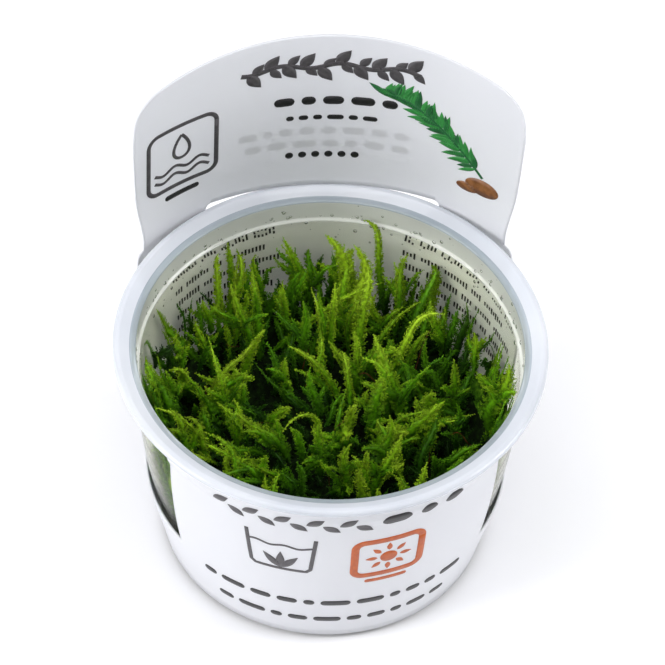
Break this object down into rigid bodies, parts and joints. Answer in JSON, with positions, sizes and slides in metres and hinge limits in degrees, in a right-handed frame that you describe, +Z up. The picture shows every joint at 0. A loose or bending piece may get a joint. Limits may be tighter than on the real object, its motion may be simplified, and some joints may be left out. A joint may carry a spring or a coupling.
{
  "type": "potted moss cup",
  "caption": "Clear plastic growing cup of moss with a dished flange, a nutrient gel layer and a wrap-round card with a tall header and side windows",
  "frame": {"origin": "Centre of the cup's base, on the surface it stands on", "axes": "+Z up along the cup's axis, +Y toward the tall header of the wrap-round sheet, -Y the front of the cup, +X to the right as seen from the front"},
  "size_m": [0.095, 0.095, 0.107],
  "materials": {
    "clear_polypropylene": "clear, slightly cloudy, glossy",
    "agar_gel": "clear pale gel",
    "moss_shade": "dense damp moss, matte",
    "moss_frond_green": "damp leaves, satin",
    "printed_white_sheet": "printed white plastic sheet, satin"
  },
  "bodies": {
    "root": {"cup": "clear_polypropylene", "nutrient_gel": "agar_gel", "moss_mat": "moss_shade", "label_sleeve": "printed_white_sheet", "moss_frond_01": "moss_frond_green", "moss_frond_02": "moss_frond_green", "moss_frond_03": "moss_frond_green", "moss_frond_04": "moss_frond_green", "moss_frond_05": "moss_frond_green", "moss_frond_06": "moss_frond_green", "moss_frond_07": "moss_frond_green", "moss_frond_08": "moss_frond_green", "moss_frond_09": "moss_frond_green", "moss_frond_10": "moss_frond_green", "moss_frond_11": "moss_frond_green", "moss_frond_12": "moss_frond_green", "moss_frond_13": "moss_frond_green", "moss_frond_14": "moss_frond_green", "moss_frond_15": "moss_frond_green", "moss_frond_16": "moss_frond_green", "moss_frond_17": "moss_frond_green", "moss_frond_18": "moss_frond_green", "moss_frond_19": "moss_frond_green", "moss_frond_20": "moss_frond_green", "moss_frond_21": "moss_frond_green", "moss_frond_22": "moss_frond_green", "moss_frond_23": "moss_frond_green", "moss_frond_24": "moss_frond_green", "moss_frond_25": "moss_frond_green", "moss_frond_26": "moss_frond_green", "moss_frond_27": "moss_frond_green", "moss_frond_28": "moss_frond_green", "moss_frond_29": "moss_frond_green", "moss_frond_30": "moss_frond_green", "moss_frond_31": "moss_frond_green", "moss_frond_32": "moss_frond_green", "moss_frond_33": "moss_frond_green", "moss_frond_34": "moss_frond_green", "moss_frond_35": "moss_frond_green", "moss_frond_36": "moss_frond_green", "moss_frond_37": "moss_frond_green", "moss_frond_38": "moss_frond_green", "moss_frond_39": "moss_frond_green", "moss_frond_40": "moss_frond_green", "moss_frond_41": "moss_frond_green", "moss_frond_42": "moss_frond_green", "moss_frond_43": "moss_frond_green", "moss_frond_44": "moss_frond_green", "moss_frond_45": "moss_frond_green", "moss_frond_46": "moss_frond_green"}
  },
  "joints": []
}
